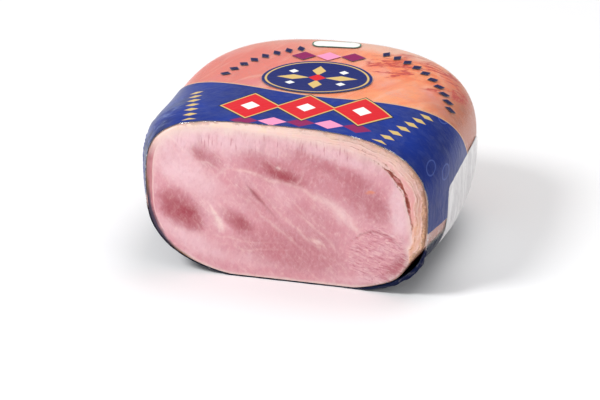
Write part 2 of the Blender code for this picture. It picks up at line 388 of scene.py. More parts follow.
def side_numbers(angle, depth):
    """How far each point is on the right, the lower right and the lower left, and under the top."""
    cosine, sine = np.cos(angle), np.sin(angle)
    right = eased(cosine + 0.25) * eased((sine + 0.85) / 0.4)
    return {
        "right": right * (1 - 0.6 * eased((sine - 0.2) / 0.5)),
        "low_right": eased((0.25 - sine) / 0.6) * eased(cosine * 3),
        "low_left": bump(np.degrees(signed(angle + math.radians(160))), 0, 44),
        "under_top": eased((sine - 0.45) / 0.3) * bump(depth, 16 * MM, 13 * MM),
    }


def face_numbers(x, z, depth, angle):
    """Every number that the cut face's material and relief use, by name."""
    wander = layered_noise(x, z, 11 * MM, 11)
    fine = layered_noise(x, z, 3 * MM, 23)
    wx = x + 2.2 * MM * wander + 0.5 * MM * fine
    wz = z + 2.2 * MM * layered_noise(x, z, 11 * MM, 37) + 0.5 * MM * fine
    near_x, near_z = x + 0.6 * MM * wander, z + 0.6 * MM * fine
    tear = layered_noise(x, z, 4 * MM, 91)
    degrees = np.degrees(signed(angle))
    rough_x, rough_z = wx + 1.5 * MM * tear, wz + 1.5 * MM * layered_noise(x, z, 4 * MM, 67)
    dark = sum(strength * patch(rough_x, rough_z, *form) for *form, strength in DARK_PATCHES)
    pale = sum(strength * patch(wx, wz, *form) for *form, strength in PALE_PATCHES)
    thick = np.interp(degrees, FAT_ANGLES, FAT_THICKNESS) * MM
    inside = depth - thick
    blend = 1 - eased(inside / (np.interp(degrees, BLEND_ANGLES, BLEND_WIDTH) * MM) + 0.25 * wander)
    soft = np.interp(degrees, (-40, 0, 40, 70, 180), (0.8, 1.5, 4, 5, 4)) * MM
    fat = eased((0.7 * MM * wander + 0.4 * MM * fine - inside) / soft + 0.5)
    left = eased((36 - np.abs(np.degrees(signed(angle - math.radians(177))))) / 16)
    rind = left * eased((4.8 * MM - depth + MM * wander) / (2 * MM) + 0.5)
    slit, sink = slit_numbers(x + MM * tear, z + MM * fine, fine)
    lobe_x, lobe_z, lobe_radius = (size * MM for size in LOBE)
    lobe = eased((lobe_radius - np.hypot(wx - lobe_x, wz - lobe_z)) / (5 * MM) + 0.5)
    return {
        "dark": dark / np.sqrt(1 + dark ** 2),
        "pale": np.clip(pale, 0, 1),
        "blend": blend,
        "cream": lines_over(wx, wz, PALE_LINES),
        "red": lines_over(near_x, near_z, RED_LINES),
        "fat": fat,
        "rind": rind,
        "lobe": lobe * (1 - fat),
        "fleck": patch(rough_x, rough_z, *ORANGE_FLECK),
        "slit": slit,
        "sink": sink,
        "depth": depth / MM,
        "fat_depth": np.clip(depth / np.maximum(thick, MM), 0, 2),
        **side_numbers(angle, depth),
    }


def face_relief(x, z, share, numbers):
    """How far the cut face stands out at each point."""
    lean = 1 - numbers["fat"]
    out = FACE_SWELL * (1 - share ** 2) - 0.5 * MM * numbers["cream"] * lean
    out -= 0.9 * MM * numbers["red"] * lean
    out += 0.7 * MM * numbers["lobe"]
    out += 0.5 * MM * numbers["fat"] * eased(share * 4 - 3)
    out -= numbers["sink"]
    out += 0.16 * MM * layered_noise(x, z, 5 * MM, 51) + 0.35 * MM * layered_noise(x, z, 22 * MM, 61)
    return out * eased((1 - share) / 0.012)


# Meshes

def ring_quads(rows, columns, first, outward):
    """Quads between rings of points, the last point of a ring joined to its first."""
    ring = np.arange(columns)
    start = first + np.arange(rows - 1)[:, None] * columns
    near, near_next = start + ring, start + (ring + 1) % columns
    far, far_next = near + columns, near_next + columns
    order = (near, far, far_next, near_next) if outward else (near, near_next, far_next, far)
    return np.stack(order, -1).reshape(-1, 4).tolist()


def ring_fan(columns, first, tip, outward):
    """Triangles from one ring of points to a tip."""
    ring = np.arange(columns)
    near, near_next, tips = first + ring, first + (ring + 1) % columns, np.full(columns, tip)
    order = (near, tips, near_next) if outward else (near, near_next, tips)
    return np.stack(order, -1).reshape(-1, 3).tolist()


def add_object(name, data):
    made = bpy.data.objects.new(name, data)
    bpy.context.scene.collection.objects.link(made)
    return made


def new_piece(name, points, faces):
    """A mesh object from points and faces, shaded smooth but for its sharp edges."""
    mesh = bpy.data.meshes.new(name)
    mesh.from_pydata(points.tolist(), [], faces)
    mesh.shade_smooth()
    mesh.set_sharp_from_angle(angle=SHARP_ANGLE)
    return add_object(name, mesh)


def skin_rings():
    """The ham's outside as rings of points, with the step beside the lower lobe."""
    angle = turn_of(HAM_AROUND)[None, :]
    y = skin_stations()[:, None]
    x, z = outline(angle, y, 0)
    z = np.maximum(z, 0)
    fade = np.clip(1 - y / GIRTH_FROM_CUT, 0, 1)
    inward = NOTCH_DEPTH * bump(signed(angle), NOTCH_ANGLE, NOTCH_REACH) * fade
    keep = 1 - inward / np.hypot(x, z - CUT_HALF_HEIGHT)
    x, z = x * keep, CUT_HALF_HEIGHT + (z - CUT_HALF_HEIGHT) * keep
    return np.stack([x, np.broadcast_to(y, x.shape), z], -1)


def rim_support(rim):
    """For each point of the cut's rim, how far its tangent is from the middle of the cut."""
    tangent = np.roll(rim, -1, 0) - np.roll(rim, 1, 0)
    normal = np.stack([tangent[:, 2], -tangent[:, 0]], -1)
    normal /= np.linalg.norm(normal, axis=1, keepdims=True)
    from_middle = rim[:, (0, 2)] - (0, CUT_HALF_HEIGHT)
    return (from_middle * normal).sum(1)


def cut_face(rim):
    """The rings of points inside the cut's rim, and every number that belongs to them."""
    share = 1 - (np.arange(1, FACE_RINGS) / FACE_RINGS)[:, None] ** FACE_CROWDING
    x = share * rim[None, :, 0]
    z = CUT_HALF_HEIGHT + share * (rim[None, :, 2] - CUT_HALF_HEIGHT)
    depth = (1 - share) * rim_support(rim)[None, :]
    angle = np.broadcast_to(turn_of(HAM_AROUND)[None, :], x.shape)
    numbers = face_numbers(x, z, depth, angle)
    return np.stack([x, -face_relief(x, z, share, numbers), z], -1), numbers


def ham_faces():
    """The faces of the skin and of the cut, for points that run skin, tip, face, middle."""
    tip = SKIN_ROWS * HAM_AROUND
    face_first = tip + 1
    face_last = face_first + (FACE_RINGS - 2) * HAM_AROUND
    skin_faces = ring_quads(SKIN_ROWS, HAM_AROUND, 0, True)
    skin_faces += ring_fan(HAM_AROUND, tip - HAM_AROUND, tip, True)
    ring = np.arange(HAM_AROUND)
    following = (ring + 1) % HAM_AROUND
    cut_faces = np.stack([ring, following, face_first + following, face_first + ring], -1).tolist()
    cut_faces += ring_quads(FACE_RINGS - 1, HAM_AROUND, face_first, False)
    cut_faces += ring_fan(HAM_AROUND, face_last, face_last + HAM_AROUND, False)
    return skin_faces, cut_faces


def keep_numbers(ham, rim, numbers):
    """Keeps each number of the cut face on the points of the ham, with 0 on the skin behind it."""
    at_rim = face_numbers(rim[:, 0], rim[:, 2], np.zeros(HAM_AROUND), turn_of(HAM_AROUND))
    behind = np.zeros((SKIN_ROWS - 1) * HAM_AROUND + 1)
    for name, values in numbers.items():
        if name != "sink":
            middle = values[-1].mean(keepdims=True)
            kept = np.concatenate([at_rim[name], behind, values.ravel(), middle])
            made = ham.data.attributes.new(name, "FLOAT", "POINT")
            made.data.foreach_set("value", kept.astype(np.float32))


def build_ham(shift):
    """The ham: its skin, its far tip and its cut face, as one closed mesh."""
    skin = skin_rings()
    face, numbers = cut_face(skin[0])
    tip = np.array([(0, LENGTH, middle_height(LENGTH))])
    middle = np.array([(0, -FACE_SWELL, CUT_HALF_HEIGHT)])
    points = np.concatenate([skin.reshape(-1, 3), tip, face.reshape(-1, 3), middle])
    skin_faces, cut_faces = ham_faces()
    ham = new_piece("ham_meat", points + shift, skin_faces + cut_faces)
    ham.data.materials.append(skin_material())
    ham.data.materials.append(cut_material())
    kinds = np.array([0] * len(skin_faces) + [1] * len(cut_faces), np.int32)
    ham.data.polygons.foreach_set("material_index", kinds)
    keep_numbers(ham, skin[0], numbers)
    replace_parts(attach(ham, "root"), "ham")


def creases(angle, y):
    """Height of the film's creases over its tight surface."""
    degrees = np.degrees(signed(angle))
    round_girth = angle * CUT_HALF_WIDTH
    fold = layered_noise(round_girth / 5, y, 7 * MM, 71)
    slant = layered_noise(round_girth / 4 + y * 1.2, y - round_girth * 0.5, 9 * MM, 81)
    upright, slanted = (np.clip(1 - np.abs(noise) * 5, 0, 1) ** 2 for noise in (fold, slant))
    right_side = bump(degrees, -12, 42) * eased(y / (30 * MM))
    left_side = bump(degrees, 162, 32) * eased((80 * MM - y) / (50 * MM))
    low_side = bump(np.abs(degrees), 130, 60) * (degrees < 0)
    far_side = eased(end_share(y) * 2.5 - 1)
    height = slanted * (0.9 * left_side + 0.3 * low_side + 0.22 * far_side)
    return MM * (height + 0.42 * upright * right_side + 0.06 * (1 + fold))


# Waves along the film's edge: size, waves round the girth, start.
CRINKLE = ((0.55, 11, 0), (0.3, 37, 1), (0.25, 61, 0))
RAGGED = ((0.35, 23, 2), (0.25, 53, 0), (0.2, 97, 0))


def waves_round(angle, waves):
    return sum(size * np.sin(count * angle + start) for size, count, start in waves)


def film_front(angle):
    """The film's edge in front of the cut, loose and flared at the lower right."""
    edge = np.array((1, 0.8, 0.6, 0.4, 0.2))[:, None]
    loose = bump(signed(angle), LOOSE_MIDDLE, LOOSE_REACH) * edge
    crinkle, ragged = waves_round(angle, CRINKLE), waves_round(angle, RAGGED)
    forward = (FILM_EDGE + 0.3 * MM * ragged) * edge + (LOOSE_EDGE + 0.9 * MM * crinkle) * loose
    flare = (LOOSE_FLARE + 0.9 * MM * crinkle) * loose
    x, z = outline(angle, np.zeros_like(edge), FILM_GROW)
    z = np.maximum(z, -FILM_GROW)
    away = np.hypot(x, z - CUT_HALF_HEIGHT)
    x = x + flare * x / away
    z = np.maximum(z + flare * (z - CUT_HALF_HEIGHT) / away, -FILM_GROW)
    return np.stack([x, -forward, z], -1)


def film_body(angle):
    """The film from the cut to the far end, with its creases and the gathers at that end."""
    y = film_stations()[:, None]
    gather = 0.35 * MM * np.sin(46 * angle) * eased(end_share(y) * 3 - 2)
    clear_of_tip = eased(closing(y, END_POWERS_ABOVE) * 1.6)
    x, z = outline(angle, y, FILM_GROW + (gather + creases(angle, y)) * clear_of_tip)
    z = np.maximum(z, -FILM_GROW)
    reach = y * (LENGTH + FILM_GROW) / LENGTH
    return np.stack([x, np.broadcast_to(reach, x.shape), z], -1)


def film_map(rings):
    """Film coordinates: round the girth from the top middle, and along it from the cut."""
    step = np.linalg.norm(np.roll(rings, -1, 1) - rings, axis=2)
    walked = np.concatenate([np.zeros((len(rings), 1)), np.cumsum(step, 1)], 1)
    top = FILM_AROUND // 4
    round_girth = walked[:, top:top + 1] - walked
    total = walked[:, -1:]
    round_girth = np.where(round_girth < -total / 2, round_girth + total, round_girth)
    along = np.concatenate([
        np.zeros((1, FILM_AROUND)), np.cumsum(np.linalg.norm(np.diff(rings, axis=0), axis=2), 0)])
    cut_row = len(rings) - FILM_ROWS
    along = along - along[cut_row]
    along = np.concatenate([along, along[:, :1]], 1)
    return round_girth, along


def map_print(film, rings):
    """Lays the film coordinates, in metres, on the mesh as a UV map that splits under the ham."""
    flat = np.stack(film_map(rings), -1)
    row = np.arange(len(rings) - 1)[:, None]
    column = np.arange(FILM_AROUND)[None, :]
    corners = ((0, 0), (1, 0), (1, 1), (0, 1))
    quads = np.stack([flat[row + i, column + j] for i, j in corners], 2).reshape(-1, 4, 2)
    split = np.ptp(quads[:, :, 0], axis=1) > SEAM_SPAN
    low = quads[split, :, 0]
    quads[split, :, 0] = np.where(low < 0, low + low.max(1, keepdims=True) * 2, low)
    tip = np.stack([flat[-1, :-1], flat[-1, :-1] * (0, 1), flat[-1, 1:]], 1)
    corner_places = np.concatenate([quads.reshape(-1, 2), tip.reshape(-1, 2)])
    uv = film.data.uv_layers.new(name="print")
    uv.data.foreach_set("uv", corner_places.astype(np.float32).ravel())


def build_film(shift):
    """The film: a thin wrap round the ham, open at the cut."""
    angle = turn_of(FILM_AROUND)[None, :]
    rings = np.concatenate([film_front(angle), film_body(angle)])
    tip = np.array([(0, LENGTH + FILM_GROW, middle_height(LENGTH))])
    points = np.concatenate([rings.reshape(-1, 3), tip])
    rows = len(rings)
    faces = ring_quads(rows, FILM_AROUND, 0, True)
    faces += ring_fan(FILM_AROUND, (rows - 1) * FILM_AROUND, rows * FILM_AROUND, True)
    film = new_piece("wrap_film", points + shift, faces)
    map_print(film, rings)
    wall = film.modifiers.new("wall", "SOLIDIFY")
    wall.thickness = FILM_WALL
    wall.offset = -1
    film.data.materials.append(film_material())
    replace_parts(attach(film, "root"), "film")


# Materials

def colour(red, green, blue):
    """A display colour, 0 to 255, as the linear colour that a shader takes."""
    shares = (value / 255 for value in (red, green, blue))
    linear = [s / 12.92 if s <= 0.04045 else ((s + 0.055) / 1.055) ** 2.4 for s in shares]
    return (*linear, 1)


class Field:
    """A number that varies over a surface. Arithmetic on it makes Math nodes."""

    def __init__(self, graph, socket):
        self.graph = graph
        self.socket = socket

    def maths(self, operation, other=0, clamp=False):
        node = self.graph.add("Math")
        node.operation = operation
        node.use_clamp = clamp
        self.graph.feed(node.inputs[0], self)
        self.graph.feed(node.inputs[1], other)
        return Field(self.graph, node.outputs[0])

    def __add__(self, other):
        return self.maths("ADD", other)

    __radd__ = __add__

    def __sub__(self, other):
        return self.maths("SUBTRACT", other)

    def __rsub__(self, other):
        return self.maths("MULTIPLY", -1) + other

    def __mul__(self, other):
        return self.maths("MULTIPLY", other)

    __rmul__ = __mul__

    def __truediv__(self, other):
        return self.maths("DIVIDE", other)

    def size(self):
        return self.maths("ABSOLUTE")

    def least(self, other):
        return self.maths("MINIMUM", other)

    def most(self, other):
        return self.maths("MAXIMUM", other)

    def clamped(self):
        return self.maths("ADD", 0, clamp=True)

    def ramp(self, low, high):
        """The field spread out so that low becomes 0 and high becomes 1."""
        return ((self - low) / (high - low)).clamped()

    def inside(self, soft):
        """1 where the field is above zero and 0 where it is below, over a soft edge."""
        return (self / soft + 0.5).clamped()


class Graph:
    """The nodes of one material."""

    def __init__(self, name):
        self.material = bpy.data.materials.new(name)
        self.material.use_nodes = True
        self.nodes = self.material.node_tree.nodes
        self.links = self.material.node_tree.links
        self.shader = self.nodes["Principled BSDF"]

    def add(self, kind, **inputs):
        """A node with values for its inputs, by name."""
        node = self.nodes.new("ShaderNode" + kind)
        for name, value in inputs.items():
            self.feed(node.inputs[name], value)
        return node

    def feed(self, socket, value):
        """Links a field or a socket, or sets a plain value."""
        if isinstance(value, Field):
            value = value.socket
        if isinstance(value, bpy.types.NodeSocket):
            self.links.new(value, socket)
        else:
            socket.default_value = value

    def number(self, name):
        """A number kept on the mesh."""
        node = self.add("Attribute")
        node.attribute_name = name
        return Field(self, node.outputs["Fac"])

    def numbers(self, names):
        return [self.number(name) for name in names.split()]

    def place(self):
        return self.add("TexCoord").outputs["Object"]

    def split(self, vector, axes):
        """The numbers of a vector."""
        node = self.add("SeparateXYZ", Vector=vector)
        return [Field(self, node.outputs[axis]) for axis in axes]

    def join(self, x, y):
        """A flat vector made of two numbers."""
        return self.add("CombineXYZ", X=x, Y=y).outputs["Vector"]

    def noise_at(self, vector, scale, detail, roughness, distortion):
        form = {"Scale": scale, "Detail": detail, "Roughness": roughness, "Distortion": distortion}
        return Field(self, self.add("TexNoise", Vector=vector, **form).outputs["Fac"])

    def noise(self, scale, detail=3, roughness=0.6, distortion=0, stretch=(1, 1, 1), turn=(0, 0, 0)):
        """Noise over the object, stretched along axes that are turned by degrees."""
        angles = [math.radians(a) for a in turn]
        node = self.add("Mapping", Vector=self.place(), Rotation=angles, Scale=stretch)
        node.vector_type = "TEXTURE"
        return self.noise_at(node.outputs["Vector"], scale, detail, roughness, distortion)

    def mix(self, share, first, second):
        node = self.add("Mix")
        node.data_type = "RGBA"
        self.feed(node.inputs[0], share)
        self.feed(node.inputs[6], first)
        self.feed(node.inputs[7], second)
        return node.outputs[2]

    def paint(self, first, *layers):
        """A colour with tints laid over it, one after another, each with its share."""
        for share, tint in layers:
            first = self.mix(share, first, tint)
        return first

    def bump(self, height, distance, strength):
        node = self.add("Bump", Height=height, Distance=distance, Strength=strength)
        return node.outputs["Normal"]

    def set(self, **values):
        """Values of the Principled shader, with spaces written as underscores."""
        for name, value in values.items():
            self.feed(self.shader.inputs[name.replace("_", " ")], value)


ROSE = colour(216, 150, 160)
PALE_ROSE = colour(234, 192, 199)
DARK_ROSE = colour(158, 48, 64)
CREAM = colour(244, 214, 208)
FAT_TOP = colour(248, 216, 206)
FAT_YELLOW = colour(250, 222, 186)
FAT_BLEND = colour(238, 208, 201)
FAT_RIGHT = colour(216, 172, 160)
FAT_GOLD = colour(226, 176, 138)
FAT_PINK = colour(226, 156, 158)
FAT_TAN = colour(178, 126, 108)
RIND_PINK = colour(188, 108, 118)
SKIN_BROWN = colour(132, 88, 62)
SLIT_RED = colour(158, 78, 66)
RIM_DUSK = colour(60, 44, 68)
RED_SEAM = colour(150, 56, 68)
HAIR_RED = colour(184, 98, 112)
FLECK_ORANGE = colour(228, 136, 92)


def lean_colour(g, mottle, grain):
    """The lean's colour: soft patches, fibres, flecks and seams."""
    dark, pale, blend, cream, red = g.numbers("dark pale blend cream red")
    lobe, under_top, fleck = g.numbers("lobe under_top fleck")
    blotches = g.noise(48, 4)
    fibres = g.noise(330, 3, 0.55, 0.5, (1, 1, 5), (0, -42, 0))
    upright = g.noise(420, 3, 0.6, 0.4, (1, 1, 4), (0, 12, 0))
    wisps = (g.noise(150, 4, 0.6, 0.5, (1, 1, 7), (0, -46, 0)) - 0.5).size()
    hairs = g.noise(520, 3, 0.68, 1.2, (4, 1, 1), (0, 17, 0))
    bands = g.noise(150, 3, 0.6, 0, (1, 1, 5), (0, 6, 0))
    ticks = g.noise(520, 2, 0.5, 0, (1, 1, 7), (0, 4, 0))
    specks = g.noise(850, 2, 0.5)
    plain, off_lobe = 1 - dark, 1 - lobe
    return g.paint(
        ROSE,
        (blotches.ramp(0.35, 0.7) * 0.3, PALE_ROSE),
        ((pale * (0.45 + mottle * 1.1)).clamped(), PALE_ROSE),
        ((dark * (0.26 + blotches * 0.7 + mottle * 0.9)).clamped(), DARK_ROSE),
        (mottle.ramp(0.5, 0.72) * plain * 0.4, PALE_ROSE),
        (grain.ramp(0.54, 0.74) * (0.12 + plain * 0.2), CREAM),
        (fibres.ramp(0.56, 0.74) * off_lobe * (0.06 + plain * 0.16), CREAM),
        (upright.ramp(0.58, 0.74) * off_lobe * 0.26, PALE_ROSE),
        ((blend * (0.4 + mottle)).clamped(), FAT_BLEND),
        (wisps.ramp(0.018, 0.002) * blotches.ramp(0.45, 0.6) * plain * 0.3, CREAM),
        (grain.ramp(0.46, 0.26) * (0.14 + dark * 0.22), DARK_ROSE),
        (bands.ramp(0.48, 0.66) * under_top * 0.24, DARK_ROSE),
        (ticks.ramp(0.58, 0.68) * under_top * 0.55, HAIR_RED),
        (hairs.ramp(0.53, 0.66) * lobe * 0.42, CREAM),
        (hairs.ramp(0.48, 0.36) * lobe * 0.66, HAIR_RED),
        (specks.ramp(0.7, 0.82) * 0.14, RED_SEAM),
        ((fleck * (0.3 + grain)).clamped() * 0.8, FLECK_ORANGE),
        ((cream * (0.2 + mottle.ramp(0.3, 0.6))).clamped() * 0.85, CREAM),
        ((red * (0.4 + grain * 1.2)).clamped() * 0.85, RED_SEAM),
    )


# Where the layers of the fat meet, in millimetres from the edge, with 4 of drift added.
LAYER_DEPTHS = (7.6, 11.8)


def fat_colour(g, mottle):
    """The fat's colour: cream on top, layers down the right. Also the share of skin at its edge."""
    depth, fat_depth = g.numbers("depth fat_depth")
    right, low_right, low_left = g.numbers("right low_right low_left")
    layer = g.noise(55)
    patchy = g.noise(150, 4, 0.68, 0, (1, 1, 2.2), (0, 8, 0))
    crumbs = g.noise(430, 3, 0.7)
    streaks = ((depth + layer * 12) * 1.25).maths("SINE")
    thin = (depth * 2.3 + layer * 22).maths("SINE")
    drifting = fat_depth + layer * 0.5
    tints = [
        (patchy.ramp(0.5, 0.66) * 0.6, FAT_YELLOW),
        (patchy.ramp(0.46, 0.34) * 0.4, FAT_BLEND),
        (right, FAT_RIGHT),
        (drifting.ramp(0.8, 1) * right * 0.85, FAT_PINK),
        (drifting.ramp(0.95, 0.55) * right * (0.75 - low_right * 0.4), FAT_TAN),
        ((low_right * (0.3 + mottle)).clamped() * 0.9, FAT_GOLD),
        (streaks.ramp(0.2, 1) * (0.1 + 0.25 * right), FAT_PINK),
        (thin.ramp(0.4, 1) * patchy.ramp(0.45, 0.6) * 0.45, CREAM),
        (patchy.ramp(0.53, 0.68) * right * (0.2 + low_right * 0.4), FAT_GOLD),
        (patchy.ramp(0.47, 0.32) * right * 0.5, CREAM),
    ]
    broken = right.ramp(0.02, 0.3) * mottle.ramp(0.44, 0.56)
    for at in LAYER_DEPTHS:
        away = depth + layer * 8 - at
        line = (1 - away.size() / (patchy * 1.1)).clamped() * broken
        # Beside each seam, a cream band of painted highlight.
        painted_highlight = (1 - (away - 1).size() / 0.9).clamped() * broken
        tints += [(line * 0.65, SLIT_RED), (painted_highlight * 0.6, CREAM)]
    outer = depth.ramp(5, 1.5) * right
    ragged = g.noise(240, 4, 0.7, 0, (1, 1, 1.6)).ramp(0.44, 0.6)
    shaded = (1 - depth / (0.4 + ragged * 2.6)).clamped() * layer.ramp(0.5, 0.58)
    tints += [
        (crumbs.ramp(0.55, 0.68) * (0.06 + low_right * 0.4), CREAM),
        (outer * patchy.ramp(0.38, 0.58) * 0.6, FAT_GOLD),
        (outer * crumbs.ramp(0.47, 0.36) * 0.6, SKIN_BROWN),
        (shaded * 0.7, FAT_TAN),
    ]
    wide = mottle * 1.4 + right * ragged * 3.6 + low_left * (2.2 + mottle * 3) + 0.3
    skin_line = ((1 - depth / wide) * (1 + low_left * 0.7)).clamped()
    skin_line = skin_line * (0.12 + right.most(low_left.ramp(0, 0.35)) * 0.88)
    return g.paint(FAT_TOP, *tints), skin_line


def cut_material():
    """The cut face: lean, fat and rind, and the slits between them."""
    g = Graph("cut_face")
    mottle = g.noise(150, 4, 0.62)
    grain = g.noise(480, 3, 0.65, 0, (1, 1, 1.8), (0, 14, 0))
    fat, skin_line = fat_colour(g, mottle)
    rind, depth, is_fat, low_left, slit = g.numbers("rind depth fat low_left slit")
    pale_line = (1 - (depth - 5.4 + mottle).size() / 0.9).clamped()
    rim_tint = g.mix(low_left.ramp(0.35, 0.75), SKIN_BROWN, RIM_DUSK)
    torn = g.noise(520, 4, 0.7, 0, (1, 1, 2))
    flaps = g.noise(300, 3, 0.6, 0, (2.5, 1, 1), (0, 35, 0))
    slit = slit + (torn - 0.5) * 1.1
    inner = slit.ramp(0.56, 0.66)
    surface = g.paint(
        g.mix(is_fat, lean_colour(g, mottle, grain), fat),
        (rind * (0.55 + mottle * 0.6), RIND_PINK),
        (rind * depth.ramp(3.2, 1) * 0.26, RIM_DUSK),
        (pale_line * rind.ramp(0.02, 0.3) * 0.7, CREAM),
        (skin_line, rim_tint),
        (slit.ramp(0.34, 0.54) * 0.8, FAT_TAN),
        (inner, SLIT_RED),
        (inner * flaps.ramp(0.5, 0.58) * 0.7, FAT_PINK),
    )
    g.set(
        Base_Color=surface,
        Roughness=0.38 + mottle * 0.24,
        Specular_IOR_Level=0.4,
        Subsurface_Weight=0.18,
        Subsurface_Radius=(1, 0.35, 0.25),
        Subsurface_Scale=0.003,
        Coat_Weight=0.08,
        Coat_Roughness=0.25,
        Normal=g.bump(mottle * 0.5 + grain * 0.5, 0.0009, 0.8),
    )
    return g.material


SALMON = colour(228, 122, 108)
PINK_SKIN = colour(226, 132, 138)
PALE_SKIN = colour(242, 194, 172)
PEACH = colour(253, 154, 98)
ORANGE = colour(242, 112, 52)
TAN = colour(178, 86, 48)
VEIN = colour(200, 34, 6)

# Where the veins of the skin show: middle and half sizes in metres.
VEINS_MIDDLE = (0.076, 0.042)
VEINS_REACH = (0.044, 0.034)


def skin_material():
    """The ham's skin under the film: salmon on the left, peach on the right, tan down the sides."""
    g = Graph("skin")
    x, y, z = g.split(g.place(), "XYZ")
    clouds = g.noise(22, 3, 0.55)
    mottle = g.noise(70, 4)
    streaks = g.noise(90, 4, 0.6, 0.6, (1, 3.5, 1), (0, 0, -28))
    crack = (g.noise(46, 5, 0.62, 0.35, (3.2, 1, 1), (0, 0, 24)) - 0.5).size()
    over_x, over_y = (x - VEINS_MIDDLE[0]) / VEINS_REACH[0], (y - VEINS_MIDDLE[1]) / VEINS_REACH[1]
    near = (1 - over_x * over_x - over_y * over_y).clamped()
    far = (y + mottle * 0.02).ramp(0.066, 0.078) * x.ramp(-0.02, 0.02) * x.ramp(0.09, 0.074)
    base = g.paint(
        SALMON,
        ((x + clouds * 0.05).ramp(-0.01, 0.07), PEACH),
        (clouds.ramp(0.5, 0.7) * 0.6, PINK_SKIN),
        (streaks.ramp(0.5, 0.72) * 0.45, PALE_SKIN),
        ((y + clouds * 0.05).ramp(0.07, 0.12) * 0.6, PALE_SKIN),
        (streaks.ramp(0.48, 0.34) * x.ramp(-0.02, 0.06) * 0.55, ORANGE),
        ((x + mottle * 0.03).ramp(0.104, 0.134) * 0.85, TAN),
        (z.ramp(0.104, 0.05) * 0.7, TAN),
        ((near * mottle.ramp(0.44, 0.6) * 1.5).clamped() * 0.85, ORANGE),
        # Painted sheen: a pale band over the skin towards the back.
        (far * 0.8, PALE_SKIN),
        (crack.ramp(0.036, 0.01) * near.ramp(0, 0.2) * clouds.ramp(0.34, 0.44), VEIN),
        (g.number("fat") * 0.8, FAT_TOP),
    )
    g.set(
        Base_Color=base,
        Roughness=0.42,
        Subsurface_Weight=0.15,
        Subsurface_Radius=(1, 0.4, 0.25),
        Subsurface_Scale=0.004,
        Coat_Weight=0.16,
        Coat_Roughness=0.18,
        Normal=g.bump(clouds * 0.6 + streaks * 0.4, 0.003, 0.35),
    )
    return g.material


ROYAL = colour(0, 46, 146)
ROYAL_DEEP = colour(12, 30, 100)
NAVY = colour(20, 27, 54)
MEDALLION_BLUE = colour(18, 32, 104)
INK_BLUE = colour(18, 16, 74)
GOLD = colour(218, 186, 116)
TILE_RED = colour(216, 24, 38)
PLUM = colour(140, 26, 90)
PINK = colour(246, 150, 190)
LABEL_WHITE = colour(244, 244, 240)
LABEL_GREEN = colour(36, 110, 70)
HAZE = colour(250, 248, 248)
CREASE_HIGHLIGHT_BLUE = colour(150, 166, 212)
CREASE_SHADE_GREY = colour(196, 190, 194)
EDGE_TAN = colour(222, 176, 132)
MARK_BLUE = colour(84, 104, 178)

# The print, in millimetres round the girth and along the film from the cut.
PRINT_TURN = math.radians(7)
PRINT_MIDDLE = (5, 46)
PRINT_FROM = 0.6
BAND_MIDDLE = 20
BAND_BACK = 66
BAND_CURVE = 43 / 129 ** 2
BAND_LIMIT = 128
EDGE_SOFT = 0.5
EDGE_LINE = 0.8

# The medallion and the label: middle and half sizes, and the label's corners.
MEDALLION = (0, 60, 44, 33)
LABEL = (7, 131, 20, 8, 7)

# Rows of lozenges: middle, count, step and half sizes, and the tint where a row has only one.
STAR_ACROSS = (0, 60, 2, 38, 13, 5)
STAR_ALONG = (60, 0, 2, 28, 9, 5.5)
TILES = (0, -5, 3, 43, 22, 25)
SMALL_ROWS = (
    (0, 72, 2, 40, 4, 3.6, LABEL_WHITE),
    (0, 48, 2, 40, 4, 3.6, LABEL_WHITE),
    (0, 60, 1, 0, 7, 7, TILE_RED),
    (0, -36, 3, 43, 11, 8, PLUM),
    (0, -36, 2, 43, 11, 8, PINK),
    (4, 103, 2, 40, 10, 8, PLUM),
    (4, 103, 1, 0, 10, 8, PINK),
)

# The navy beads on an arc, the gold beads in two rows, and the plain rings on the band.
ARC_MIDDLE = (14, 66)
ARC_RADIUS = 104
ARC_STEP = math.radians(5.6)
ARC_SPOT = (3.2, 6)
ARC_REACHES = ((23, 79), (111, 158))
ROWS = ((1, 70, 0.35), (-1, 76, 0.22))
ROW_STEP = 11
ROW_SPOT = (6, 3.2)
ROW_FROM = 5
ROW_TO = BAND_BACK + 12
FAR_OUT = 50
MARKS = ((106.5, 88), (117, 21), (132, 41), (-106, 62), (-103, 36), (-116, 14))
MARK_SIZE = (4.5, 8.5)

# The blank side panel, and the clear strip between the band and the dark underside.
SIDE_PANEL = (176, 98, 29, 54, 4)
STRIP_FROM = 159.5
STRIP_TO = 172
STRIP_SLOPE = 0.28
STRIP_LEVEL_FROM = 70


def box_inside(u, v, half_u, half_v, corner):
    """Distance inside a box with rounded corners, negative outside."""
    over_u = (u.size() - (half_u - corner)).most(0)
    over_v = (v.size() - (half_v - corner)).most(0)
    length = (over_u * over_u + over_v * over_v).maths("SQRT")
    within = (u.size() - (half_u - corner)).most(v.size() - (half_v - corner)).least(0)
    return corner - length - within


def oval_inside(u, v, half_u, half_v):
    """Distance inside an oval, as measured along v."""
    over_u, over_v = u / half_u, v / half_v
    return (1 - (over_u * over_u + over_v * over_v).maths("SQRT")) * half_v


def lozenge_inside(u, v, half_u, half_v):
    return 1 - u.size() / half_u - v.size() / half_v


def lozenge_row(u, v, form):
    """Distance inside a row of lozenges: its middle, count, step and half sizes."""
    middle_u, middle_v, count, step, half_u, half_v = form
    row = None
    for k in range(count):
        at = middle_u + (k - (count - 1) / 2) * step
        lozenge = lozenge_inside(u - at, v - middle_v, half_u, half_v) * half_v
        row = lozenge if row is None else row.most(lozenge)
    return row


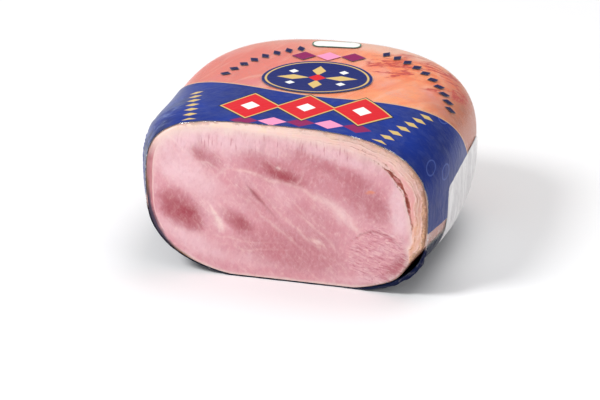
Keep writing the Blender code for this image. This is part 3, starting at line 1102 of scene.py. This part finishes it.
def middle_print(u, v):
    """The print on top, in its own turned frame: a medallion, tiles, lozenges and a label."""
    middle_u, middle_v, half_u, half_v = MEDALLION
    medallion = oval_inside(u - middle_u, v - middle_v, half_u, half_v)
    star = lozenge_row(u, v, STAR_ACROSS).most(lozenge_row(v, u, STAR_ALONG))
    tiles = lozenge_row(u, v, TILES)
    label_u, label_v, *label_form = LABEL
    label = box_inside(u - label_u, v - label_v, *label_form)
    return [
        (medallion, MEDALLION_BLUE),
        ((medallion - 2).least(3.2 - medallion), GOLD),
        (star, GOLD),
        *((lozenge_row(u, v, form), tint) for *form, tint in SMALL_ROWS),
        (tiles + 3.6, NAVY),
        (tiles + 2, GOLD),
        (tiles, TILE_RED),
        (tiles - 16.5, LABEL_WHITE),
        (label, LABEL_GREEN),
        (label - 1.1, LABEL_WHITE),
    ]


def side_print(s, t):
    """Rows of lozenges: navy ones on an arc over the skin, gold ones on the band."""
    ring_u, ring_v = s - ARC_MIDDLE[0], t - ARC_MIDDLE[1]
    radius = (ring_u * ring_u + ring_v * ring_v).maths("SQRT")
    angle = ring_v.maths("ARCTAN2", ring_u)
    spot = ((angle / ARC_STEP).maths("FRACT") - 0.5) * (ARC_STEP * ARC_RADIUS)
    beads = lozenge_inside(spot, radius - ARC_RADIUS, *ARC_SPOT) * ARC_SPOT[0]
    outside = 1
    for start, end in ARC_REACHES:
        within = (angle - math.radians(start)).least(math.radians(end) - angle)
        outside = (1 - within.inside(0.01)) * outside
    layers = [(beads - outside * FAR_OUT, INK_BLUE)]
    for side_of, start, slope in ROWS:
        across = s * side_of - start - t * slope
        spot = ((t / ROW_STEP).maths("FRACT") - 0.5) * ROW_STEP
        beads = lozenge_inside(across, spot, *ROW_SPOT) * ROW_SPOT[1]
        within = (t - ROW_FROM).least(ROW_TO - t)
        layers.append((beads - (1 - within.inside(EDGE_SOFT)) * FAR_OUT, GOLD))
    return layers


def film_places(g):
    """Film coordinates in millimetres, then the same turned and moved for the print on top."""
    source = g.add("UVMap")
    source.uv_map = "print"
    s, t = (place * 1000 for place in g.split(source.outputs["UV"], "XY"))
    across, back = s - PRINT_MIDDLE[0], t - PRINT_MIDDLE[1]
    cosine, sine = math.cos(PRINT_TURN), math.sin(PRINT_TURN)
    return s, t, across * cosine + back * sine, back * cosine - across * sine


def film_fields(s, t):
    """Where the band, its edge line, the clear strip, the underside and the side panel are."""
    from_middle = s - BAND_MIDDLE
    back_edge = (from_middle * from_middle * BAND_CURVE + BAND_BACK).least(BAND_LIMIT)
    low = s.size() - t.least(STRIP_LEVEL_FROM) * STRIP_SLOPE
    panel_s, panel_t, *panel_form = SIDE_PANEL
    fields = (
        back_edge - t,
        (EDGE_LINE - (back_edge - t).size()).least(STRIP_FROM - low),
        (low - STRIP_FROM).least(STRIP_TO - low),
        low - STRIP_TO,
        box_inside(s - panel_s, t - panel_t, *panel_form),
    )
    return [field.inside(EDGE_SOFT) for field in fields]


def film_material():
    """The film: clear, with fields of print. The print is opaque and the rest shows the skin."""
    g = Graph("printed_film")
    s, t, u, v = film_places(g)
    band, edge_line, strip, underside, panel = film_fields(s, t)
    clouds = g.noise(16, 3, 0.5)
    mottle = g.noise(42, 4)
    fine = g.noise(260)
    upright = g.noise(150, 4, 0.6, 0.5, (1, 1, 4.5), (0, 10, 0))
    along_girth = (g.noise_at(g.join(s * 0.022, t * 0.08), 1, 3, 0.5, 0.4) - 0.5).size()
    crumpled = (g.noise_at(g.join(s * 0.07, t * 0.13), 1, 3, 0.5, 0.8) - 0.5).size()
    fold_line = along_girth.ramp(0.024, 0.004)
    crumple_line = crumpled.ramp(0.016, 0.003)
    # Spots of painted glint, for the dark underside, the clear strip and the film's front edge.
    painted_glints = fine.ramp(0.6, 0.72)
    side_of_ham = s.ramp(95, 160)
    left_shoulder = s.ramp(-88, -102) * s.ramp(-150, -128) * t.ramp(80, 45)
    rings = [oval_inside(s - mark_s, t - mark_t, *MARK_SIZE).size() for mark_s, mark_t in MARKS]
    motifs = [(field.inside(EDGE_SOFT), tint) for field, tint in side_print(s, t) + middle_print(u, v)]

    ink = (band * (1 - strip)).most(underside).most(edge_line)
    ink = ink * (1 - panel) + panel * (0.88 + upright.ramp(0.35, 0.7) * 0.1)
    for mask, _ in motifs:
        ink = ink.most(mask)
    wandering = (fine - 0.5) * 2.5 + (mottle - 0.5) * 5
    ink = ink * (t - PRINT_FROM + wandering).inside(EDGE_SOFT).most(underside)
    # Painted glints and sheen on the clear film: stronger mirror gloss in upright streaks, in spots
    # over the clear strip and along the front edge.
    clear = 0.05 + upright.ramp(0.5, 0.75) * 0.06 + strip * painted_glints * 0.3 + strip * 0.1
    clear = clear.most((1.6 - t + wandering).inside(0.6) * (0.15 + painted_glints * 0.85))

    height = upright * (0.25 + side_of_ham * 0.3) + mottle * 0.5 + fine * 0.08
    height = height + fold_line * (side_of_ham * 0.15 + left_shoulder * 0.6)
    height = height + crumple_line * underside * 0.4
    g.set(
        Base_Color=g.paint(
            ROYAL,
            ((clouds.ramp(0.35, 0.65) * 0.5 + mottle.ramp(0.4, 0.8) * 0.5).clamped(), ROYAL_DEEP),
            # Painted shade: the band darker down the right side of the ham.
            (side_of_ham * 0.6, ROYAL_DEEP),
            (left_shoulder * mottle.ramp(0.4, 0.65) * 0.7, NAVY),
            # Painted highlights: lighter blue lines along the folds of the left shoulder, and faint
            # lighter streaks over the band.
            (left_shoulder * along_girth.ramp(0.05, 0) * 0.34, CREASE_HIGHLIGHT_BLUE),
            ((upright * 0.5 + mottle * 0.5).ramp(0.46, 0.66) * 0.08, CREASE_HIGHLIGHT_BLUE),
            (underside, NAVY),
            *(((0.8 - ring).inside(0.7) * band * 0.55, MARK_BLUE) for ring in rings),
            (edge_line, EDGE_TAN),
            (panel, HAZE),
            # Painted shade: grey lines along the folds and crumples of the white panel.
            (panel * along_girth.ramp(0.1, 0) * 0.36, CREASE_SHADE_GREY),
            (panel * crumpled.ramp(0.03, 0.005) * 0.36, CREASE_SHADE_GREY),
            *motifs,
            # Painted highlights: white glint lines along the crumples of the dark underside.
            (underside * crumple_line * (0.1 + painted_glints * 0.7), HAZE),
            (1 - ink, HAZE),
        ),
        Alpha=(ink * 0.985).most(clear),
        Metallic=1 - ink,
        Roughness=0.14 + ink * 0.16,
        Specular_IOR_Level=0.11 - underside * 0.09,
        Coat_Weight=0.05,
        Coat_Roughness=0.1,
        Normal=g.bump(height, 0.0022, 0.4),
    )
    return g.material


def floor_material():
    g = Graph("pale_floor")
    g.set(Base_Color=colour(246, 246, 247), Roughness=0.6, Specular_IOR_Level=0.2)
    return g.material


# Stage, light and camera

# Lamps: place, size and power.
LAMPS = {
    "key": ((-1.1, -0.9, 1.5), 0.7, 27),
    "above": ((0.3, 0.9, 2), 1.6, 19),
    "front": ((0.3, -2, 0.7), 1, 1.5),
    "right": ((1.7, -0.7, 0.9), 1, 4),
}
LAMPS_AIM = (0, 0, 0.06)
ROOM_LIGHT = 0.42
FLOOR_HALF = 4
FLOOR_LEVEL = -0.2 * MM


def build_floor():
    mesh = bpy.data.meshes.new("floor")
    corners = ((-1, -1), (1, -1), (1, 1), (-1, 1))
    points = [(x * FLOOR_HALF, y * FLOOR_HALF, FLOOR_LEVEL) for x, y in corners]
    mesh.from_pydata(points, [], [(0, 1, 2, 3)])
    mesh.materials.append(floor_material())
    add_object("floor", mesh)


def aim_at(made, place, target):
    made.location = place
    made.rotation_euler = (Vector(target) - Vector(place)).to_track_quat("-Z", "Y").to_euler()


def light_scene():
    """A dim white room, a large key light from the upper left, and a softer light from above."""
    world = bpy.data.worlds.new("studio")
    world.use_nodes = True
    background = world.node_tree.nodes["Background"]
    background.inputs["Color"].default_value = (1, 1, 1, 1)
    background.inputs["Strength"].default_value = ROOM_LIGHT
    bpy.context.scene.world = world
    for name, (place, size, power) in LAMPS.items():
        lamp = bpy.data.lights.new(name, "AREA")
        lamp.shape = "DISK"
        lamp.size = size
        lamp.energy = power
        aim_at(add_object(name, lamp), place, LAMPS_AIM)
    bpy.context.scene.view_settings.view_transform = "Standard"


def place_camera(shift):
    """The photograph's view: the cut seen from a little to its right, and from above."""
    az, el = CAMERA_AZIMUTH, CAMERA_ELEVATION
    back = Vector((math.sin(az) * math.cos(el), -math.cos(az) * math.cos(el), math.sin(el)))
    right = Vector((math.cos(az), math.sin(az), 0))
    up = back.cross(right)
    foot = Vector(shift)
    camera = bpy.data.cameras.new("camera")
    camera.sensor_width = 36
    camera.lens = CAMERA_LENS
    made = add_object("camera", camera)
    aim_at(made, foot + back * CAMERA_DISTANCE, foot + right * AIM_RIGHT + up * AIM_UP)
    bpy.context.scene.camera = made


def main():
    shift = placement()
    build_ham(shift)
    build_film(shift)
    build_floor()
    light_scene()
    place_camera(shift)


main()
